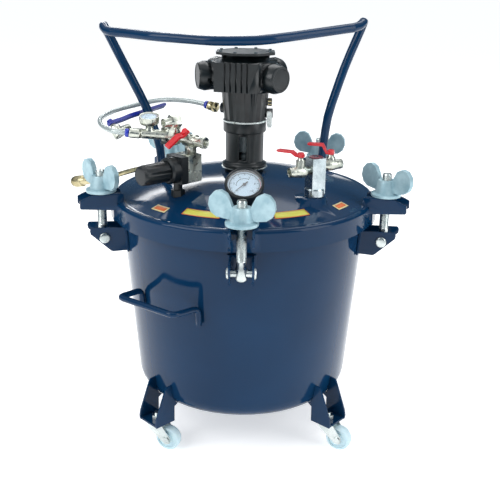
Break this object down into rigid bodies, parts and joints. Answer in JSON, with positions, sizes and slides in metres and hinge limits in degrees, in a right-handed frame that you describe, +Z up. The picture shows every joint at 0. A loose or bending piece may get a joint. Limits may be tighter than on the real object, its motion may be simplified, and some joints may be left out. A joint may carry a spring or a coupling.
{
  "type": "resin pressure pot",
  "caption": "Tapered steel pressure vessel on casters with a clamped domed lid, air motor and stirrer, pressure gauge, regulator, inlet and outlet valves and carry handles.",
  "frame": {"origin": "centre of the tank's flat underside", "axes": "+Z up along the tank's axis, -Y towards the front clamp and the lid gauge, +X to the right, where the outlet column is"},
  "size_m": [0.5666, 0.5093, 0.6939],
  "materials": {
    "navy_paint": "gloss",
    "gasket_rubber": "matt",
    "stainless": "brushed",
    "hose_braid": "braided",
    "brass_fitting": "machined",
    "blue_grip": "dipped vinyl",
    "zinc_plate": "bright zinc",
    "caster_plastic": "moulded",
    "needle_black": "matt",
    "nickel_fitting": "satin nickel",
    "red_grip": "dipped vinyl",
    "black_plastic": "satin",
    "black_casting": "satin black",
    "galvanised": "rough zinc coat"
  },
  "bodies": {
    "vessel": {"tank": "navy_paint", "lid": "navy_paint", "lid_gasket": "gasket_rubber", "air_hose": "hose_braid", "air_inlet": "brass_fitting", "carry_handle": "navy_paint", "caster_bracket_1": "navy_paint", "caster_bracket_2": "navy_paint", "caster_bracket_3": "navy_paint", "caster_bracket_4": "navy_paint", "dip_tube": "stainless", "inlet_block": "nickel_fitting", "lid_gauge": "black_plastic", "motor_body": "black_casting", "motor_cap_front_left": "black_casting", "motor_cap_front_right": "black_casting", "motor_cap_rear_left": "black_casting", "motor_cap_rear_right": "black_casting", "motor_hose_fitting": "brass_fitting", "motor_pedestal": "black_casting", "motor_top_cover": "black_casting", "outlet_column": "stainless", "outlet_valve_left": "nickel_fitting", "outlet_valve_right": "nickel_fitting", "regulator_body": "black_plastic", "side_handle_front": "navy_paint", "side_handle_rear": "navy_paint", "small_gauge": "nickel_fitting", "tank_lug_1": "navy_paint", "tank_lug_2": "navy_paint", "tank_lug_3": "navy_paint", "tank_lug_4": "navy_paint", "tank_lug_5": "navy_paint"},
    "clamp_bolt_1": {"eyebolt_1": "zinc_plate"},
    "clamp_nut_1": {"wing_nut_1": "galvanised"},
    "clamp_bolt_2": {"eyebolt_2": "zinc_plate"},
    "clamp_nut_2": {"wing_nut_2": "galvanised"},
    "clamp_bolt_3": {"eyebolt_3": "zinc_plate"},
    "clamp_nut_3": {"wing_nut_3": "galvanised"},
    "clamp_bolt_4": {"eyebolt_4": "zinc_plate"},
    "clamp_nut_4": {"wing_nut_4": "galvanised"},
    "clamp_bolt_5": {"eyebolt_5": "zinc_plate"},
    "clamp_nut_5": {"wing_nut_5": "galvanised"},
    "caster_swivel_1": {"caster_fork_1": "zinc_plate"},
    "caster_roller_1": {"caster_wheel_1": "caster_plastic"},
    "caster_swivel_2": {"caster_fork_2": "zinc_plate"},
    "caster_roller_2": {"caster_wheel_2": "caster_plastic"},
    "caster_swivel_3": {"caster_fork_3": "zinc_plate"},
    "caster_roller_3": {"caster_wheel_3": "caster_plastic"},
    "caster_swivel_4": {"caster_fork_4": "zinc_plate"},
    "caster_roller_4": {"caster_wheel_4": "caster_plastic"},
    "agitator": {"agitator_shaft": "stainless", "propeller": "stainless"},
    "knob": {"regulator_knob": "black_plastic"},
    "inlet_valve_lever": {"inlet_lever": "red_grip"},
    "blue_valve_lever": {"blue_lever": "blue_grip"},
    "outlet_left_lever": {"outlet_lever_left": "red_grip"},
    "outlet_right_lever": {"outlet_lever_right": "red_grip"},
    "pressure_needle": {"gauge_needle": "needle_black"},
    "speed_valve_lever": {"speed_lever": "zinc_plate"}
  },
  "joints": [
    {"name": "clamp_swing_1", "type": "hinge", "parent": "vessel", "child": "clamp_bolt_1", "pos_m": [0, -0.239, 0.279], "axis": [1, 0, 0], "range_deg": [0, 120]},
    {"name": "wing_nut_turn_1", "type": "hinge", "parent": "clamp_bolt_1", "child": "clamp_nut_1", "pos_m": [0, -0.239, 0.352], "axis": [0, 0, 1], "continuous": true},
    {"name": "clamp_swing_2", "type": "hinge", "parent": "vessel", "child": "clamp_bolt_2", "pos_m": [0.2273, -0.07386, 0.279], "axis": [0.309, 0.9511, 0], "range_deg": [0, 120]},
    {"name": "wing_nut_turn_2", "type": "hinge", "parent": "clamp_bolt_2", "child": "clamp_nut_2", "pos_m": [0.2273, -0.07386, 0.352], "axis": [0, 0, 1], "continuous": true},
    {"name": "clamp_swing_3", "type": "hinge", "parent": "vessel", "child": "clamp_bolt_3", "pos_m": [0.14048, 0.19335, 0.279], "axis": [-0.809, 0.5878, 0], "range_deg": [0, 120]},
    {"name": "wing_nut_turn_3", "type": "hinge", "parent": "clamp_bolt_3", "child": "clamp_nut_3", "pos_m": [0.14048, 0.19335, 0.352], "axis": [0, 0, 1], "continuous": true},
    {"name": "clamp_swing_4", "type": "hinge", "parent": "vessel", "child": "clamp_bolt_4", "pos_m": [-0.14048, 0.19335, 0.279], "axis": [-0.809, -0.5878, 0], "range_deg": [0, 120]},
    {"name": "wing_nut_turn_4", "type": "hinge", "parent": "clamp_bolt_4", "child": "clamp_nut_4", "pos_m": [-0.14048, 0.19335, 0.352], "axis": [0, 0, 1], "continuous": true},
    {"name": "clamp_swing_5", "type": "hinge", "parent": "vessel", "child": "clamp_bolt_5", "pos_m": [-0.2273, -0.07386, 0.279], "axis": [0.309, -0.9511, 0], "range_deg": [0, 120]},
    {"name": "wing_nut_turn_5", "type": "hinge", "parent": "clamp_bolt_5", "child": "clamp_nut_5", "pos_m": [-0.2273, -0.07386, 0.352], "axis": [0, 0, 1], "continuous": true},
    {"name": "caster_turn_1", "type": "hinge", "parent": "vessel", "child": "caster_swivel_1", "pos_m": [-0.1393, -0.1393, -0.025], "axis": [0, 0, 1], "continuous": true},
    {"name": "wheel_spin_1", "type": "hinge", "parent": "caster_swivel_1", "child": "caster_roller_1", "pos_m": [-0.11957, -0.14648, -0.0535], "axis": [0.342, 0.9397, 0], "continuous": true},
    {"name": "caster_turn_2", "type": "hinge", "parent": "vessel", "child": "caster_swivel_2", "pos_m": [0.14754, -0.13054, -0.025], "axis": [0, 0, 1], "continuous": true},
    {"name": "wheel_spin_2", "type": "hinge", "parent": "caster_swivel_2", "child": "caster_roller_2", "pos_m": [0.16658, -0.13941, -0.0535], "axis": [0.4226, 0.9063, 0], "continuous": true},
    {"name": "caster_turn_3", "type": "hinge", "parent": "vessel", "child": "caster_swivel_3", "pos_m": [0.13435, 0.14408, -0.025], "axis": [0, 0, 1], "continuous": true},
    {"name": "wheel_spin_3", "type": "hinge", "parent": "caster_swivel_3", "child": "caster_roller_3", "pos_m": [0.12548, 0.16311, -0.0535], "axis": [-0.9063, -0.4226, 0], "continuous": true},
    {"name": "caster_turn_4", "type": "hinge", "parent": "vessel", "child": "caster_swivel_4", "pos_m": [-0.1393, 0.1393, -0.025], "axis": [0, 0, 1], "continuous": true},
    {"name": "wheel_spin_4", "type": "hinge", "parent": "caster_swivel_4", "child": "caster_roller_4", "pos_m": [-0.1288, 0.15749, -0.0535], "axis": [-0.866, 0.5, 0], "continuous": true},
    {"name": "agitator_spin", "type": "hinge", "parent": "vessel", "child": "agitator", "pos_m": [0, 0, 0.3], "axis": [0, 0, 1], "continuous": true},
    {"name": "regulator_knob_turn", "type": "hinge", "parent": "vessel", "child": "knob", "pos_m": [-0.11901, -0.11463, 0.396], "axis": [-0.7193, -0.6947, 0], "range_deg": [-720, 720]},
    {"name": "inlet_valve_turn", "type": "hinge", "parent": "vessel", "child": "inlet_valve_lever", "pos_m": [-0.08897, -0.09275, 0.45134], "axis": [-0.2996, -0.6492, 0.6991], "range_deg": [0, 90]},
    {"name": "blue_valve_turn", "type": "hinge", "parent": "vessel", "child": "blue_valve_lever", "pos_m": [-0.2094, -0.05, 0.4545], "axis": [-0.5998, 0.3599, 0.7147], "range_deg": [0, 90]},
    {"name": "outlet_left_turn", "type": "hinge", "parent": "vessel", "child": "outlet_left_lever", "pos_m": [0.08662, -0.12017, 0.4225], "axis": [0, 0, 1], "range_deg": [-38, 52]},
    {"name": "outlet_right_turn", "type": "hinge", "parent": "vessel", "child": "outlet_right_lever", "pos_m": [0.13438, -0.09583, 0.4225], "axis": [0, 0, 1], "range_deg": [-48, 42]},
    {"name": "needle_turn", "type": "hinge", "parent": "vessel", "child": "pressure_needle", "pos_m": [0.002, -0.143, 0.385], "axis": [0, 0.5878, -0.809], "range_deg": [0, 270], "stiffness_Nm_per_rad": 0.0002},
    {"name": "speed_valve_turn", "type": "hinge", "parent": "vessel", "child": "speed_valve_lever", "pos_m": [0.0395, -0.0068, 0.468], "axis": [0, -1, 0], "range_deg": [0, 90]}
  ]
}
